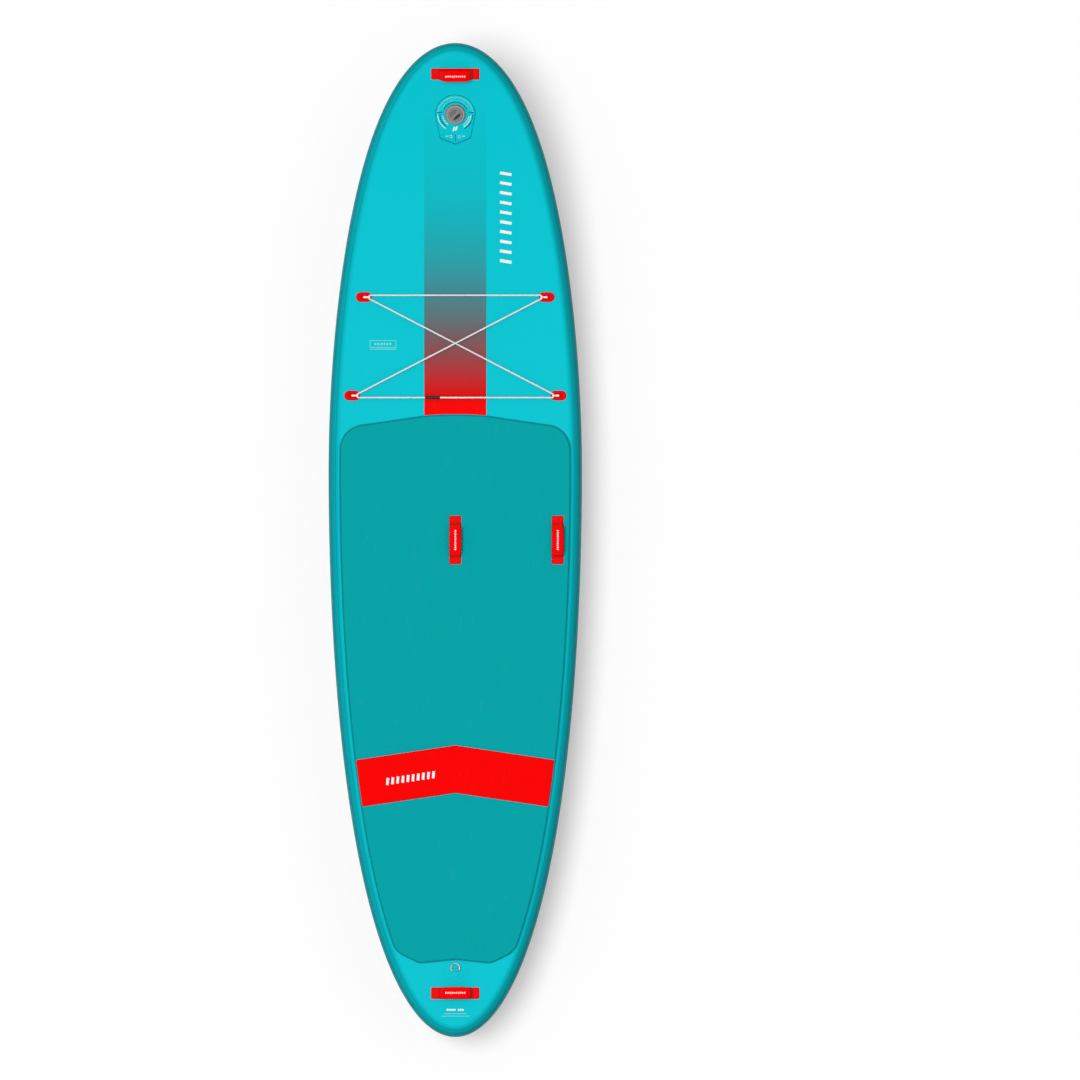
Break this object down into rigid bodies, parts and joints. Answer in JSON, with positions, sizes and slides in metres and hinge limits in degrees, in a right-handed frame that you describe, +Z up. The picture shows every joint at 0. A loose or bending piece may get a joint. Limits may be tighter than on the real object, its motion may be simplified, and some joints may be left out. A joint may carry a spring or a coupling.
{
  "type": "stand up paddleboard",
  "caption": "Inflatable stand up paddleboard with foam deck pads, grab handles, inflation valve, bungee tie-down, leash and tow rings and flexible fins.",
  "frame": {"origin": "on the centreline, midway between nose and tail, level with the tips of the side fins", "axes": "+Y to the nose, +Z up from the deck, +X to starboard"},
  "size_m": [0.816, 3.2, 0.4407],
  "materials": {
    "pvc_turquoise": "satin coated PVC with a fine woven print-through",
    "pvc_teal": "satin coated PVC",
    "pvc_red": "satin coated PVC",
    "woven_core": "woven polyester base cloth",
    "thread": "polyester drop thread",
    "foam_teal": "closed cell foam, fine brushed grain",
    "foam_red": "closed cell foam, fine brushed grain",
    "webbing_red": "woven nylon webbing",
    "neoprene_red": "padded neoprene with a knit face",
    "webbing_turquoise": "woven nylon webbing",
    "webbing_white": "woven nylon webbing",
    "bungee": "braided sleeve over elastic",
    "joiner_black": "moulded",
    "valve_grey": "moulded, satin",
    "valve_white": "moulded",
    "seal_rubber": "moulded",
    "spring_steel": "drawn wire",
    "ring_steel": "polished stainless",
    "fin_black": "moulded flexible PVC"
  },
  "bodies": {
    "board": {"deck_fabric": "woven_core", "hull_fabric": "woven_core", "drop_threads": "thread", "deck_skin": "pvc_turquoise", "hull_skin": "pvc_teal", "rail_wall_port": "pvc_teal", "rail_wall_starboard": "pvc_teal", "rail_cover_port": "pvc_turquoise", "rail_cover_starboard": "pvc_turquoise", "rail_stripe_port": "pvc_turquoise", "rail_stripe_starboard": "pvc_turquoise", "front_pad": "foam_teal", "chevron_pad": "foam_red", "rear_pad": "foam_teal", "nose_handle_patch": "pvc_red", "nose_handle_strap": "webbing_red", "nose_handle_grip": "neoprene_red", "centre_handle_patch": "pvc_red", "centre_handle_strap": "webbing_red", "centre_handle_grip": "neoprene_red", "side_handle_patch": "pvc_red", "side_handle_strap": "webbing_red", "side_handle_grip": "neoprene_red", "tail_handle_patch": "pvc_red", "tail_handle_strap": "webbing_red", "tail_handle_grip": "neoprene_red", "valve_patch": "pvc_turquoise", "valve_gasket": "seal_rubber", "valve_body": "valve_grey", "valve_seat": "valve_grey", "valve_nut": "valve_grey", "valve_spring": "spring_steel", "front_port_anchor": "pvc_red", "front_starboard_anchor": "pvc_red", "rear_port_anchor": "pvc_red", "rear_starboard_anchor": "pvc_red", "front_port_tab": "webbing_white", "front_starboard_tab": "webbing_white", "rear_port_tab": "webbing_white", "rear_starboard_tab": "webbing_white", "bungee_cord": "bungee", "cord_joiner": "joiner_black", "tail_ring_patch": "pvc_turquoise", "tail_ring_tab": "webbing_turquoise", "nose_patch": "pvc_turquoise", "nose_ring_patch": "pvc_turquoise", "nose_ring_tab": "webbing_turquoise", "port_fin_base": "fin_black", "starboard_fin_base": "fin_black", "centre_fin_base": "fin_black", "port_fin_blade": "fin_black", "starboard_fin_blade": "fin_black", "centre_fin_blade": "fin_black"},
    "plunger": {"valve_plunger": "valve_white", "plunger_seal": "seal_rubber"},
    "cap_seal": {"cap_seal": "seal_rubber"},
    "cap": {"valve_cap": "valve_grey"},
    "tail_ring": {"tail_ring": "ring_steel"},
    "nose_ring": {"nose_ring": "ring_steel"}
  },
  "joints": [
    {"name": "cap_lift", "type": "slide", "parent": "board", "child": "cap_seal", "axis": [0, -0.2496, 0.9683], "range_m": [0, 0.12]},
    {"name": "cap_twist", "type": "hinge", "parent": "cap_seal", "child": "cap", "pos_m": [0, 1.3705, 0.3755], "axis": [0, -0.2496, 0.9683], "range_deg": [0, 90]},
    {"name": "plunger_press", "type": "slide", "parent": "board", "child": "plunger", "axis": [0, 0.2496, -0.9683], "range_m": [0, 0.003], "stiffness_N_per_m": 800, "springref_m": -0.004, "deforming": ["valve_spring"]},
    {"name": "tail_ring_swing", "type": "hinge", "parent": "board", "child": "tail_ring", "pos_m": [0, -1.38474, 0.26187], "axis": [1, 0, 0], "range_deg": [0, 165]},
    {"name": "nose_ring_swing", "type": "hinge", "parent": "board", "child": "nose_ring", "pos_m": [0, 1.53494, 0.26295], "axis": [-1, 0, 0], "range_deg": [0, 165]}
  ]
}
